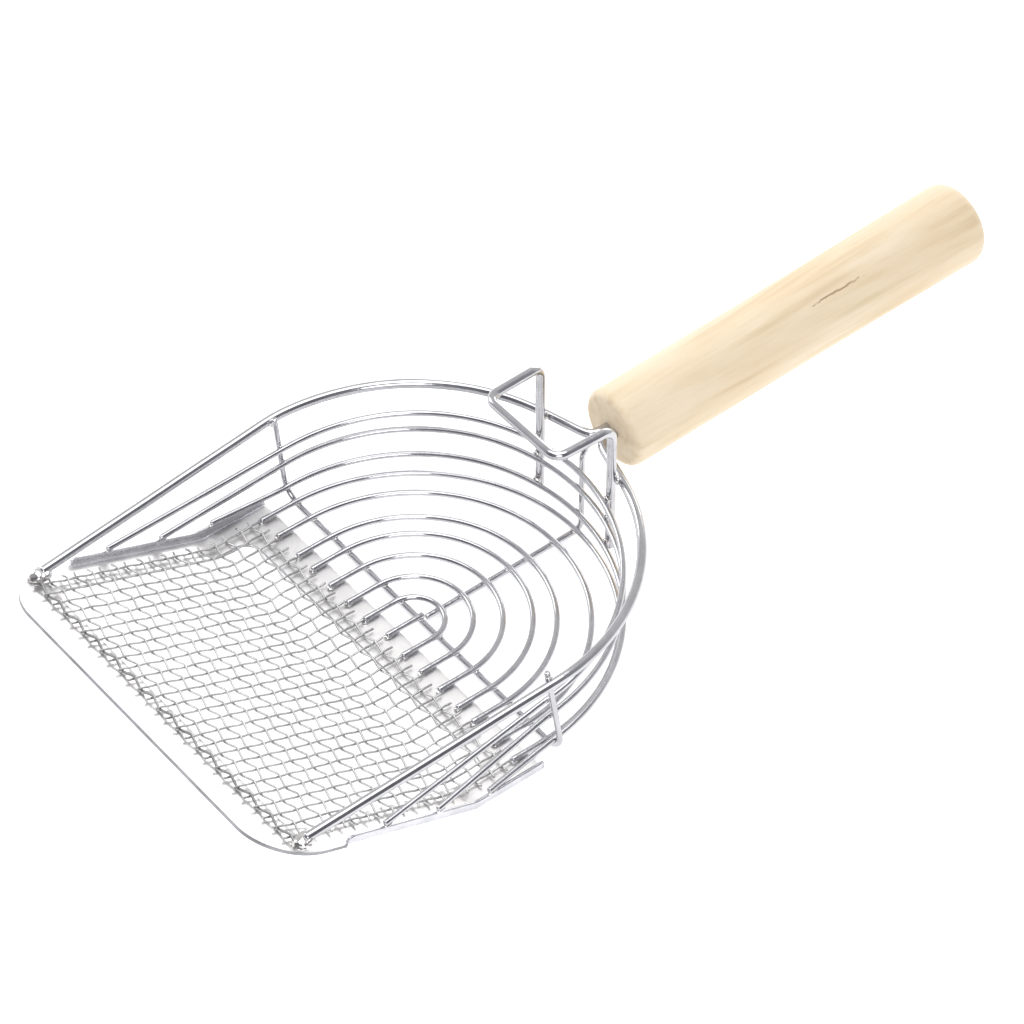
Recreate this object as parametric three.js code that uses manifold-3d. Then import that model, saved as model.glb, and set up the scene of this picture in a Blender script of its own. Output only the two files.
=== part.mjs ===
// Wire sand scoop: a welded basket of steel wires behind a woven sifting mesh, on a wooden handle.
// Millimetres, +Z up, +Y from the lip to the handle. The shape is laid out about the middle of the
// basket, with the floor wires' centres at height 0, and moved at the end so that the origin is
// under the middle of the whole scoop, on the surface that it stands on.

import * as THREE from 'three';
import { mergeVertices } from 'three/addons/utils/BufferGeometryUtils.js';
import Module from 'manifold-3d';

const GAP = 0.3;                     // clearance between pieces that touch

// Wires
const THICK_WIRE = 1.6;              // radius of the rim and the hook wire
const THIN_WIRE = 1.0;               // radius of every other basket wire
const WIRE_SIDES = 8;
const BEND_STEPS = 5;

// Rim, two mirrored halves that meet at the handle
const RIM_RADIUS = 72.5;
const RIM_HEIGHT = 34.8;             // behind, where it turns into the handle
const RIM_SIDE_HEIGHT = 34.2;        // beside the basket
const RIM_TAIL_SLOPE = THREE.MathUtils.degToRad(16);  // the halves meet in a shallow point
const RIM_FRONT = [68.8, -93, 26.4];                  // where a half ends on the plate
const BASKET_Y = -1;                 // centre of the rim's and side wires' arcs
const TANG_SPACING = 1.95;           // half the distance between the two tangs
const TANG_BEND = 4.2;
const TANG_DEPTH = 60;               // length of a tang inside the handle
const RIM_STEPS = 18;

// Floor and side wires
const FLOOR_RADII = [10, 19, 28.4, 37.8, 45.4, 56.3, 65.2];
const FLOOR_FRONT_Y = -12.3;
const FLOOR_STEPS = 12;              // on the innermost floor wire's arc
const FLOOR_STEPS_MORE = 2;          // on each wire further out
const SIDE_REAR = 65.6;
const SIDE_WIRES = [                 // heights beside and behind, and where the ends land in front
  { name: 'top_side_wire', side: 22.9, rear: 28.2, endY: -66.5 },
  { name: 'middle_side_wire', side: 15.6, rear: 20.6, endY: -46.6 },
  { name: 'bottom_side_wire', side: 3.8, rear: 8.9, endY: -27 },
];
const SIDE_STEPS = 24;

// Ribs that carry the wires
const RIB_Y = 2.8;
const RIB_TOP_Y = -1.9;
const RIB_FOOT_X = 71.4;             // the cross rib's uprights lean in a little towards the rim
const RIB_TIP_X = 69.4;
const RIB_REAR_Y = 68.2;             // the rear rib's upright
const REAR_RIB_BEND = 3;
const REAR_RIB_LEAN = 4;             // height over which the rear rib leans back to the rim
const REAR_RIB_GAP = 0.9;            // between its slanted top and the rim
const CROSS_RIB_BEND = 6;
const RIB_PROUD = 2;                 // how far a rib's tip stands above the rim's centre
const STUB_SETBACK = 1.4;            // from the floor wires' front ends

// Hook over the rim, beside the handle
const HOOK_HALF_WIDTH = 17.8;
const HOOK_FRONT_HALF_WIDTH = 17.2;
const HOOK_LEG_Y = 65.4;
const HOOK_FRONT_Y = 43.5;
const HOOK_BOTTOM = 5.7;
const HOOK_TOP = 58.6;
const HOOK_BEND = 4;

// Plate frame under the mesh: flat behind, tilted up in front
const SHEET = 1.2;
const PLATE_TOP = -THIN_WIRE - GAP;
const PLATE_HALF_WIDTH = 73;
const PLATE_REAR_Y = -5.9;
const PLATE_BEND_Y = -32;
const PLATE_FRONT_Y = -107.4;
const PLATE_SLOPE = THREE.MathUtils.degToRad(22);
const PLATE_CORNER = 19;
const CORNER_STEPS = 7;
const LIP_WIDTH = 14;
const BORDER_WIDTH = 11;
const STRIP_WIDTH = 13;
const OPENING_CORNER = 6;
const FLANGE_HEIGHT = 3;
const FLANGE_FRONT_Y = -80;
const CUTTER_LOW = -20;              // the vertical cutters reach from here to above the plate
const CUTTER_DEPTH = 80;

// Sifting mesh
const MESH_LONG_WIRES = 27;
const MESH_CROSS_WIRES = 18;
const MESH_HALF_WIDTH = 65;
const MESH_LENGTH = 85;
const MESH_REAR_Y = -15.8;
const MESH_WIRE = 1;                 // width of a mesh wire
const MESH_THICKNESS = 2 * MESH_WIRE;

// Handle
const HANDLE_FACE_Y = 80.2;
const HANDLE_LENGTH = 150;
const HANDLE_FRONT_RADIUS = 13.8;
const HANDLE_BUTT_RADIUS = 14.6;
const HANDLE_FRONT_ROUND = 3;
const HANDLE_BUTT_ROUND = 5;
const HANDLE_TILT = THREE.MathUtils.degToRad(2.35);
const BORE_RADIUS = 4;
const BORE_DEPTH = 64;
const HANDLE_SIDES = 32;
const ROUND_STEPS = 4;

// Corner brazes
const BRAZE_SIZE = [3, 4.6, 3.2];    // half width, half length and half height of a blob
const BRAZE_FORWARD = 1.5;           // from the wire's end to the blob's middle, ahead and down
const BRAZE_DOWN = 1;
const BRAZE_SIDES = 14;
const BRAZE_RINGS = 10;
const SOCKET_GAP = 0.45;             // around the wire's end inside the blob

const CHROME = { color: 0xc9cbd2, roughness: 0.16, metalness: 1 };
const WOOD = { color: 0xefdcb4, roughness: 0.55, metalness: 0 };
const BRAZE = { color: 0xa9a7a3, roughness: 0.3, metalness: 1 };

const wasm = await Module();
wasm.setup();

const scoop = new THREE.Group();

function addPart(name, geometry, finish) {
  const part = new THREE.Mesh(geometry, new THREE.MeshStandardMaterial(finish));
  part.name = name;
  scoop.add(part);
  return part;
}

// Booleans ------------------------------------------------------------------------------------

function toSolid(geometry) {
  const bare = geometry.clone();
  bare.deleteAttribute('normal');
  bare.deleteAttribute('uv');
  const merged = mergeVertices(bare, 1e-4);
  return new wasm.Manifold(new wasm.Mesh({
    numProp: 3,
    vertProperties: new Float32Array(merged.attributes.position.array),
    triVerts: new Uint32Array(merged.index.array),
  }));
}

function toGeometry(solid) {
  const mesh = solid.getMesh();
  const geometry = new THREE.BufferGeometry();
  geometry.setAttribute('position', new THREE.BufferAttribute(mesh.vertProperties, 3));
  geometry.setIndex(new THREE.BufferAttribute(mesh.triVerts, 1));
  return geometry;
}

// Wires ---------------------------------------------------------------------------------------

// A path whose knots are the given points, so that straight stretches cost one step.
class WirePath extends THREE.Curve {
  constructor(points) {
    super();
    this.points = points;
  }

  getPointAt(u) {
    return this.points[Math.round(u * (this.points.length - 1))].clone();
  }

  getTangentAt(u) {
    const last = this.points.length - 1;
    const i = Math.round(u * last);
    const before = this.points[Math.max(i - 1, 0)];
    const after = this.points[Math.min(i + 1, last)];
    const here = this.points[i];
    const tangent = new THREE.Vector3();
    if (i > 0) tangent.add(here.clone().sub(before).normalize());
    if (i < last) tangent.add(after.clone().sub(here).normalize());
    return tangent.normalize();
  }
}

function wireGeometry(points, radius) {
  const section = new THREE.Shape();
  for (let i = 0; i < WIRE_SIDES; i += 1) {
    const angle = (2 * Math.PI * (i + 0.5)) / WIRE_SIDES;
    const corner = [radius * Math.cos(angle), radius * Math.sin(angle)];
    if (i === 0) section.moveTo(...corner);
    else section.lineTo(...corner);
  }
  section.closePath();
  return new THREE.ExtrudeGeometry(section, {
    steps: points.length - 1,
    extrudePath: new WirePath(points),
    curveSegments: 1,
  });
}

// Corner points joined by straight wire, with each inner corner bent to a radius.
function bentWire(corners, bend) {
  const points = [corners[0].clone()];
  for (let i = 1; i < corners.length - 1; i += 1) {
    const back = corners[i - 1].clone().sub(corners[i]).normalize();
    const ahead = corners[i + 1].clone().sub(corners[i]).normalize();
    const half = back.angleTo(ahead) / 2;
    const inward = back.clone().add(ahead).normalize();
    const centre = corners[i].clone().addScaledVector(inward, bend / Math.sin(half));
    const start = corners[i].clone().addScaledVector(back, bend / Math.tan(half)).sub(centre);
    const axis = back.clone().cross(ahead).normalize();
    const turn = -(Math.PI - 2 * half);
    for (let k = 0; k <= BEND_STEPS; k += 1) {
      points.push(start.clone().applyAxisAngle(axis, (turn * k) / BEND_STEPS).add(centre));
    }
  }
  points.push(corners[corners.length - 1].clone());
  return points;
}

function mirrored(points) {
  return points.map((p) => new THREE.Vector3(-p.x, p.y, p.z));
}

// Plate frame ---------------------------------------------------------------------------------

// Height of the plate's top face at a distance along the scoop.
function plateTop(y) {
  return PLATE_TOP + Math.max(0, PLATE_BEND_Y - y) * Math.tan(PLATE_SLOPE);
}

// The bent sheet's profile, from the rear to the front, extruded across the scoop.
function bentSheet(rearY, frontY, low, high, fromX, toX) {
  const ys = [rearY, PLATE_BEND_Y, frontY];
  const profile = new THREE.Shape();
  profile.moveTo(ys[0], plateTop(ys[0]) + high);
  for (const y of ys.slice(1)) profile.lineTo(y, plateTop(y) + high);
  for (const y of ys.reverse()) profile.lineTo(y, plateTop(y) + low);
  profile.closePath();
  const sheet = new THREE.ExtrudeGeometry(profile, { depth: toX - fromX, bevelEnabled: false });
  sheet.rotateY(Math.PI / 2);
  sheet.rotateX(Math.PI / 2);
  sheet.translate(fromX, 0, 0);
  return sheet;
}

function upright(outline) {
  const block = new THREE.ExtrudeGeometry(outline,
    { depth: CUTTER_DEPTH, bevelEnabled: false, curveSegments: CORNER_STEPS });
  block.translate(0, 0, CUTTER_LOW);
  return block;
}

// A rectangle in plan with its front corners rounded, and its rear corners too where asked.
function roundedOutline(halfWidth, rearY, frontY, corner, rearCorner) {
  const outline = new THREE.Shape();
  const turn = (x, y, radius, quarter) => {
    if (radius > 0) outline.absarc(x, y, radius, quarter * Math.PI / 2, (quarter + 1) * Math.PI / 2);
  };
  outline.moveTo(halfWidth - rearCorner, rearY);
  outline.lineTo(-halfWidth + rearCorner, rearY);
  turn(-halfWidth + rearCorner, rearY - rearCorner, rearCorner, 1);
  outline.lineTo(-halfWidth, frontY + corner);
  turn(-halfWidth + corner, frontY + corner, corner, 2);
  outline.lineTo(halfWidth - corner, frontY);
  turn(halfWidth - corner, frontY + corner, corner, 3);
  outline.lineTo(halfWidth, rearY - rearCorner);
  turn(halfWidth - rearCorner, rearY - rearCorner, rearCorner, 0);
  outline.closePath();
  return outline;
}

function makePlateFrame() {
  const sheet = bentSheet(PLATE_REAR_Y, PLATE_FRONT_Y, -SHEET, 0, -PLATE_HALF_WIDTH, PLATE_HALF_WIDTH);
  const edge = roundedOutline(PLATE_HALF_WIDTH, PLATE_REAR_Y, PLATE_FRONT_Y, PLATE_CORNER, 0);
  const opening = roundedOutline(PLATE_HALF_WIDTH - BORDER_WIDTH, PLATE_REAR_Y - STRIP_WIDTH,
    PLATE_FRONT_Y + LIP_WIDTH, OPENING_CORNER, OPENING_CORNER);
  let frame = toSolid(sheet).intersect(toSolid(upright(edge))).subtract(toSolid(upright(opening)));
  for (const side of [-1, 1]) {
    const inner = side * (PLATE_HALF_WIDTH - SHEET);
    const outer = side * PLATE_HALF_WIDTH;
    const flange = bentSheet(PLATE_REAR_Y, FLANGE_FRONT_Y, -SHEET, FLANGE_HEIGHT,
      Math.min(inner, outer), Math.max(inner, outer));
    frame = frame.add(toSolid(flange));
  }
  addPart('plate_frame', toGeometry(frame), CHROME);
}

// Sifting mesh --------------------------------------------------------------------------------

// The grid's lines: both edges of every wire, along one direction.
function wireEdges(count, pitch, start) {
  const edges = [];
  for (let i = 0; i < count; i += 1) {
    edges.push(start + i * pitch - MESH_WIRE / 2, start + i * pitch + MESH_WIRE / 2);
  }
  return edges;
}

// A point of the mesh: across, along from the rear wire, and above its middle plane.
function meshPoint(across, along, lift) {
  const flat = MESH_REAR_Y - PLATE_BEND_Y;
  const past = Math.max(0, along - flat);
  const tilt = past > 0 ? PLATE_SLOPE : 0;
  const y = MESH_REAR_Y - Math.min(along, flat) - past * Math.cos(tilt) + lift * Math.sin(tilt);
  return [across, y, past * Math.sin(tilt) + lift * Math.cos(tilt)];
}

// Every wire's crossing and stretch is a cell of a lattice; the openings are the cells left out.
function makeSiftingMesh() {
  const xs = wireEdges(MESH_LONG_WIRES, (2 * MESH_HALF_WIDTH) / (MESH_LONG_WIRES - 1), -MESH_HALF_WIDTH);
  const ys = wireEdges(MESH_CROSS_WIRES, MESH_LENGTH / (MESH_CROSS_WIRES - 1), 0);
  const positions = [];
  for (const lift of [-MESH_THICKNESS / 2, MESH_THICKNESS / 2]) {
    for (const along of ys) {
      for (const across of xs) positions.push(...meshPoint(across, along, lift));
    }
  }
  const vertex = (i, j, top) => (top * ys.length + j) * xs.length + i;
  const isWire = (i, j) => i >= 0 && j >= 0 && i < xs.length - 1 && j < ys.length - 1
    && (i % 2 === 0 || j % 2 === 0);
  const triangles = [];
  const quad = (a, b, c, d) => triangles.push(a, b, c, a, c, d);
  for (let j = 0; j < ys.length - 1; j += 1) {
    for (let i = 0; i < xs.length - 1; i += 1) {
      if (!isWire(i, j)) continue;
      const low = [vertex(i, j, 0), vertex(i + 1, j, 0), vertex(i + 1, j + 1, 0), vertex(i, j + 1, 0)];
      const high = [vertex(i, j, 1), vertex(i + 1, j, 1), vertex(i + 1, j + 1, 1), vertex(i, j + 1, 1)];
      const neighbours = [[i, j - 1], [i + 1, j], [i, j + 1], [i - 1, j]];
      quad(...low);
      quad(...high.toReversed());
      neighbours.forEach((cell, k) => {
        const next = (k + 1) % 4;
        if (!isWire(...cell)) quad(low[next], low[k], high[k], high[next]);
      });
    }
  }
  const mesh = new THREE.BufferGeometry();
  mesh.setAttribute('position', new THREE.Float32BufferAttribute(positions, 3));
  mesh.setIndex(triangles);
  mesh.computeVertexNormals();
  addPart('sifting_mesh', mesh, CHROME);
}

// Basket wires --------------------------------------------------------------------------------

function makeRimHalves() {
  const arcEnd = Math.PI / 2 - RIM_TAIL_SLOPE;
  const right = [new THREE.Vector3(...RIM_FRONT)];
  for (let k = 0; k <= RIM_STEPS; k += 1) {
    const angle = (arcEnd * k) / RIM_STEPS;
    right.push(new THREE.Vector3(RIM_RADIUS * Math.cos(angle), BASKET_Y + RIM_RADIUS * Math.sin(angle),
      THREE.MathUtils.lerp(RIM_SIDE_HEIGHT, RIM_HEIGHT, k / RIM_STEPS)));
  }
  const tail = right[right.length - 1];
  const turn = new THREE.Vector3(TANG_SPACING,
    tail.y + (tail.x - TANG_SPACING) * Math.tan(RIM_TAIL_SLOPE), RIM_HEIGHT);
  const reach = HANDLE_FACE_Y + TANG_DEPTH - turn.y;
  const tip = turn.clone().add(new THREE.Vector3(0, reach, reach * Math.tan(HANDLE_TILT)));
  right.push(...bentWire([tail, turn, tip], TANG_BEND).slice(1));
  addPart('rim_wire_right', wireGeometry(right, THICK_WIRE), CHROME);
  addPart('rim_wire_left', wireGeometry(mirrored(right), THICK_WIRE), CHROME);
}

function makeFloorWires() {
  FLOOR_RADII.forEach((radius, index) => {
    const steps = FLOOR_STEPS + FLOOR_STEPS_MORE * index;
    const points = [new THREE.Vector3(radius, FLOOR_FRONT_Y, 0)];
    for (let k = 0; k <= steps; k += 1) {
      const angle = (Math.PI * k) / steps;
      points.push(new THREE.Vector3(radius * Math.cos(angle), radius * Math.sin(angle), 0));
    }
    points.push(new THREE.Vector3(-radius, FLOOR_FRONT_Y, 0));
    addPart(`floor_wire_${index + 1}`, wireGeometry(points, THIN_WIRE), CHROME);
  });
}

// How far out the cross rib's uprights stand at a height.
function ribX(height) {
  return THREE.MathUtils.mapLinear(height, 0, RIM_HEIGHT, RIB_FOOT_X, RIB_TIP_X);
}

function makeSideWires() {
  const endX = PLATE_HALF_WIDTH - SHEET / 2;
  for (const { name, side, rear, endY } of SIDE_WIRES) {
    const halfWidth = ribX(side) - 2 * THIN_WIRE - GAP;
    const endZ = plateTop(endY) + FLANGE_HEIGHT + THIN_WIRE + 2 * GAP;
    const points = [new THREE.Vector3(endX, endY, endZ)];
    for (let k = 0; k <= SIDE_STEPS; k += 1) {
      const angle = (Math.PI * k) / SIDE_STEPS;
      points.push(new THREE.Vector3(halfWidth * Math.cos(angle),
        BASKET_Y + SIDE_REAR * Math.sin(angle), THREE.MathUtils.lerp(side, rear, Math.sin(angle))));
    }
    points.push(new THREE.Vector3(-endX, endY, endZ));
    addPart(name, wireGeometry(points, THIN_WIRE), CHROME);
  }
}

function makeRibs() {
  const under = -2 * THIN_WIRE - GAP;
  const tipZ = RIM_HEIGHT + RIB_PROUD;
  const upright = [
    new THREE.Vector3(-ribX(tipZ), RIB_TOP_Y, tipZ),
    new THREE.Vector3(-ribX(under), RIB_Y, under),
  ];
  const cross = bentWire([...upright, ...mirrored(upright).reverse()], CROSS_RIB_BEND);
  addPart('cross_rib', wireGeometry(cross, THIN_WIRE), CHROME);

  const rimInside = BASKET_Y + RIM_RADIUS / Math.cos(RIM_TAIL_SLOPE) - THICK_WIRE;
  const rear = bentWire([
    new THREE.Vector3(0, RIB_Y + 2 * THIN_WIRE + GAP, under),
    new THREE.Vector3(0, RIB_REAR_Y, under),
    new THREE.Vector3(0, RIB_REAR_Y, RIM_HEIGHT - REAR_RIB_LEAN),
    new THREE.Vector3(0, rimInside - THIN_WIRE - REAR_RIB_GAP, RIM_HEIGHT + THIN_WIRE),
  ], REAR_RIB_BEND);
  addPart('rear_rib', wireGeometry(rear, THIN_WIRE), CHROME);

  const stub = [
    new THREE.Vector3(0, FLOOR_FRONT_Y + STUB_SETBACK, 0),
    new THREE.Vector3(0, RIB_Y + THIN_WIRE, 0),
  ];
  addPart('front_stub', wireGeometry(stub, THIN_WIRE), CHROME);
}

function makeHook() {
  const half = [
    new THREE.Vector3(HOOK_HALF_WIDTH, HOOK_LEG_Y, HOOK_BOTTOM),
    new THREE.Vector3(HOOK_HALF_WIDTH, HOOK_LEG_Y, HOOK_TOP),
    new THREE.Vector3(HOOK_FRONT_HALF_WIDTH, HOOK_FRONT_Y, HOOK_TOP),
  ];
  const corners = [...half, ...mirrored(half).reverse()];
  addPart('bucket_hook', wireGeometry(bentWire(corners, HOOK_BEND), THICK_WIRE), CHROME);
}

// Blobs of braze that hold the rim's ends down on the plate's front corners.
function makeCornerBrazes() {
  const [endX, endY, endZ] = RIM_FRONT;
  const rimSide = new THREE.Vector3(RIM_RADIUS, BASKET_Y, RIM_SIDE_HEIGHT);
  const socketEnd = new THREE.Vector3(endX, endY, endZ);
  socketEnd.addScaledVector(socketEnd.clone().sub(rimSide).normalize(), GAP);
  const plate = toSolid(bentSheet(PLATE_REAR_Y, PLATE_FRONT_Y, CUTTER_LOW, GAP,
    -PLATE_HALF_WIDTH, PLATE_HALF_WIDTH));
  for (const [name, side] of [['corner_braze_left', -1], ['corner_braze_right', 1]]) {
    const socket = [socketEnd, rimSide].map((p) => new THREE.Vector3(side * p.x, p.y, p.z));
    const blob = new THREE.SphereGeometry(1, BRAZE_SIDES, BRAZE_RINGS);
    blob.scale(...BRAZE_SIZE);
    blob.translate(side * endX, endY - BRAZE_FORWARD, endZ - BRAZE_DOWN);
    const wire = toSolid(wireGeometry(socket, THICK_WIRE + SOCKET_GAP));
    addPart(name, toGeometry(toSolid(blob).subtract(plate).subtract(wire)), BRAZE);
  }
}

// Handle --------------------------------------------------------------------------------------

function makeHandle() {
  const profile = [[0, BORE_DEPTH], [BORE_RADIUS, BORE_DEPTH], [BORE_RADIUS, 0]];
  const angles = Array.from({ length: ROUND_STEPS + 1 }, (_, k) => (Math.PI / 2) * (k / ROUND_STEPS));
  for (const angle of angles) {
    profile.push([HANDLE_FRONT_RADIUS - HANDLE_FRONT_ROUND * (1 - Math.sin(angle)),
      HANDLE_FRONT_ROUND * (1 - Math.cos(angle))]);
  }
  for (const angle of angles) {
    profile.push([HANDLE_BUTT_RADIUS - HANDLE_BUTT_ROUND * (1 - Math.cos(angle)),
      HANDLE_LENGTH - HANDLE_BUTT_ROUND * (1 - Math.sin(angle))]);
  }
  profile.push([0, HANDLE_LENGTH]);
  const turned = new THREE.LatheGeometry(profile.map(([r, y]) => new THREE.Vector2(r, y)), HANDLE_SIDES);
  const handle = addPart('handle', turned, WOOD);
  handle.position.set(0, HANDLE_FACE_Y, RIM_HEIGHT);
  handle.rotation.x = HANDLE_TILT;
}

makePlateFrame();
makeSiftingMesh();
makeRimHalves();
makeFloorWires();
makeSideWires();
makeRibs();
makeHook();
makeCornerBrazes();
makeHandle();

// Stand the scoop on the origin, under the middle of its length.
const box = new THREE.Box3().setFromObject(scoop, true);
scoop.position.set(0, -(box.min.y + box.max.y) / 2, -box.min.z);

export default scoop;
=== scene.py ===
import math

import bpy
import bmesh
from mathutils import Matrix, Vector, noise


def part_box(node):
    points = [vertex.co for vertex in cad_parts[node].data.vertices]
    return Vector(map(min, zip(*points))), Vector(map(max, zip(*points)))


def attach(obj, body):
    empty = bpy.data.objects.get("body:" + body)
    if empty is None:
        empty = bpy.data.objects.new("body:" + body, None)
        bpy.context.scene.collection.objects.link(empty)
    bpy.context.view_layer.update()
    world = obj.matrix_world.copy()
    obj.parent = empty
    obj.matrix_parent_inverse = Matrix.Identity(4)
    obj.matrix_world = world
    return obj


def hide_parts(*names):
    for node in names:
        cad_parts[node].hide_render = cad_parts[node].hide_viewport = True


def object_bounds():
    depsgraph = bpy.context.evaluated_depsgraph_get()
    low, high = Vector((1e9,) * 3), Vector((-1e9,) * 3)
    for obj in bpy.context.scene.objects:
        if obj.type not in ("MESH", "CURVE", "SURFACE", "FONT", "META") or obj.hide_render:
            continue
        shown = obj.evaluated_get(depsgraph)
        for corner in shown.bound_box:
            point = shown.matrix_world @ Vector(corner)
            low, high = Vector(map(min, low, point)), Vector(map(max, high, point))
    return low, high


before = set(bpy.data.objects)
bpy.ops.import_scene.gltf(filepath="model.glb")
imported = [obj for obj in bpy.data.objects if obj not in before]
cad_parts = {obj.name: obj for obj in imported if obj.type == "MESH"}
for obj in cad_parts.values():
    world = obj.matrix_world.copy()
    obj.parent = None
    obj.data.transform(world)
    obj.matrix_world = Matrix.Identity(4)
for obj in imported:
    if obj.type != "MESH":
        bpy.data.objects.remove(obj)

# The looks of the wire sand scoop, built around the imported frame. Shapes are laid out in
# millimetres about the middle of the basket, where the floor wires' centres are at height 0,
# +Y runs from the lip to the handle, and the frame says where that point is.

CAD_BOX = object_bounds()
MM = 0.001

# Sizes ------------------------------------------------------------------------------------------

THICK_WIRE = 1.6                # radius of the rim and the hook wire
THIN_WIRE = 1.0                 # radius of the other basket wires
THICK_SIDES = 20                # sides of the wires' round sections
THIN_SIDES = 14
PATH_STEP = 2.0                 # longest stretch of wire between two sections
CUT_END = [(0.62, 0.0), (0.9, 0.16), (1.0, 0.42)]   # a cut end's rounding, in wire radii: radius, setback

RIM_RADIUS = 72.25              # 0.25 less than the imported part's, so the uneven wire stays in its box
RIM_HEIGHT = 34.8               # behind, where it turns into the handle
RIM_SIDE_HEIGHT = 34.2
RIM_TAIL_SLOPE = math.radians(16)
RIM_FRONT = Vector((68.8, -93, 26.4))
BASKET_Y = -1                   # centre of the rim's and side wires' arcs
TANG_SPACING = 1.95             # half the distance between the two tangs
TANG_BEND = 4.2
TANG_DEPTH = 60

FLOOR_WIRES = 7
FLOOR_FRONT_Y = -12.3
SIDE_REAR = 65.6
SIDE_WIRES = {                  # heights beside and behind, and where the ends land in front
    "top_side_wire": (22.9, 28.2, -66.5),
    "middle_side_wire": (15.6, 20.6, -46.6),
    "bottom_side_wire": (3.8, 8.9, -27.0),
}
SIDE_END_INSET = 0.15           # from the middle of the flange
SIDE_END_PRESSED = 0.1          # into the flange by the weld

RIB_FOOT_X = 71.4               # the cross rib's uprights lean in a little towards the rim
RIB_TIP_X = 69.4
RIB_Y = 2.8
RIB_TOP_Y = -1.9
RIB_TIP_Z = 36.8
RIB_UNDER = -2.05
CROSS_RIB_BEND = 8
REAR_RIB_BEND = 3
REAR_RIB_Y = 68.2
REAR_RIB_LEAN = 4               # height over which it leans back to the rim
STUB_SETBACK = 1.4              # from the floor wires' front ends

HOOK_HALF_WIDTH = 17.8
HOOK_FRONT_HALF_WIDTH = 17.2
HOOK_LEG_Y = 65.4
HOOK_FRONT_Y = 43.5
HOOK_BOTTOM = 5.7
HOOK_TOP = 58.4                 # 0.2 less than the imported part's, for the same reason as the rim
HOOK_BEND = 4

SHEET = 1.2
PLATE_TOP = -1.3
PLATE_HALF_WIDTH = 73
PLATE_REAR_Y = -5.9
PLATE_BEND_Y = -32
PLATE_BEND_RADIUS = 9
PLATE_FRONT_Y = -106.9          # the sheet's lower edge reaches further
PLATE_SLOPE = math.radians(22)
PLATE_CORNER = 19
LIP_WIDTH = 14
BORDER_WIDTH = 11
STRIP_WIDTH = 13
OPENING_CORNER = 6
FLANGE_HEIGHT = 3
FLANGE_FRONT_Y = -80
FLANGE_FOLD = 0.8               # inner radius of the fold
FLANGE_FRONT_RISE = 0.4         # height above the fold that the flange's cut end starts with
FLANGE_LAP = 0.3                # how far the flange reaches into the sheet
LAP_GAP = 0.02                  # from the lap to each face of the sheet
SHEET_EDGE = 0.3                # softening of the sheet's cut edges
SQUARE_CORNER = 0.01            # the sheet's rear corners aren't rounded
PLATE_ROWS = 8
FLANGE_STEPS = 90
QUARTER_STEPS = 8               # in each quarter turn of a rounded edge

MESH_LONG_WIRES = 27
MESH_CROSS_WIRES = 18
MESH_HALF_WIDTH = 65
MESH_LENGTH = 85
MESH_REAR_Y = -15.8
MESH_WANDER = 0.35              # how far the wires stray from straight
LONG_TAIL_REAR = 3.6            # how far the wires' cut ends reach past the outermost crossings
LONG_TAIL_FRONT = 2.3
CROSS_TAIL = 2.4
MESH_WIRE = 0.38                # radius of a mesh wire
LONG_CRIMP = 0.16               # the cross wires are crimped more sharply than the long ones
CROSS_CRIMP = 0.75
CROSS_ZIGZAG = 0.35
EDGE_WIRE = 0.44                # radius of the mesh's front wire
MESH_SIDES = 8
MESH_SAMPLES = 8                # points along a wire from one crossing to the next
PITCH_ACROSS = 2 * MESH_HALF_WIDTH / (MESH_LONG_WIRES - 1)
PITCH_ALONG = MESH_LENGTH / (MESH_CROSS_WIRES - 1)

HANDLE_FACE_Y = 80.2
HANDLE_LENGTH = 150
HANDLE_FRONT_RADIUS = 13.8
HANDLE_BUTT_RADIUS = 14.6
HANDLE_FRONT_ROUND = 2.6
HANDLE_BUTT_ROUND = 5
HANDLE_TILT = math.radians(2.35)
HANDLE_SWELL = 0.25             # how much slimmer the middle is than a straight taper
HANDLE_WAVE = 0.12              # unevenness from hand sanding
HANDLE_SIDES = 240


def basket_centre():
    """Where the shapes' own origin is in the frame, in metres."""
    low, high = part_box("floor_wire_1")
    radius = (high.x - low.x) / 2
    return Vector((0, high.y - radius, (low.z + high.z) / 2))


TO_FRAME = Matrix.Translation(basket_centre()) @ Matrix.Diagonal((MM, MM, MM, 1))


# Mesh helpers -----------------------------------------------------------------------------------

def finish_piece(name, bm, material, nodes=(), facing_up=False):
    """Turns a bmesh in millimetres into a named piece that rides on the frame."""
    if not facing_up:
        bmesh.ops.recalc_face_normals(bm, faces=bm.faces)
    mesh = bpy.data.meshes.new(name)
    bm.to_mesh(mesh)
    bm.free()
    mesh.transform(TO_FRAME)
    mesh.shade_smooth()
    mesh.materials.append(material)
    piece = bpy.data.objects.new(name, mesh)
    bpy.context.scene.collection.objects.link(piece)
    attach(piece, "root")
    if nodes:
        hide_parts(*nodes)
    return piece


def spaced(points, step):
    """The same polyline with points at most step apart."""
    out = [points[0].copy()]
    for a, b in zip(points, points[1:]):
        count = max(1, math.ceil((b - a).length / step))
        out += [a.lerp(b, k / count) for k in range(1, count + 1)]
    return out


def eased(points, passes):
    """Smooths a dense polyline, with its ends held."""
    for _ in range(passes):
        inner = [(a + b + c) / 3 for a, b, c in zip(points, points[1:], points[2:])]
        points = [points[0], *inner, points[-1]]
    return points


def hand_bent(points, throw, seed):
    """The slight waviness of wire that was bent by hand. The ends stay where they are."""
    out = []
    for i, p in enumerate(points):
        hold = min(1.0, 6 * i / len(points), 6 * (len(points) - 1 - i) / len(points))
        out.append(p + noise.noise_vector(p * 0.035 + Vector((seed * 7.3, 0, 0))) * throw * hold)
    return out


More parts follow.
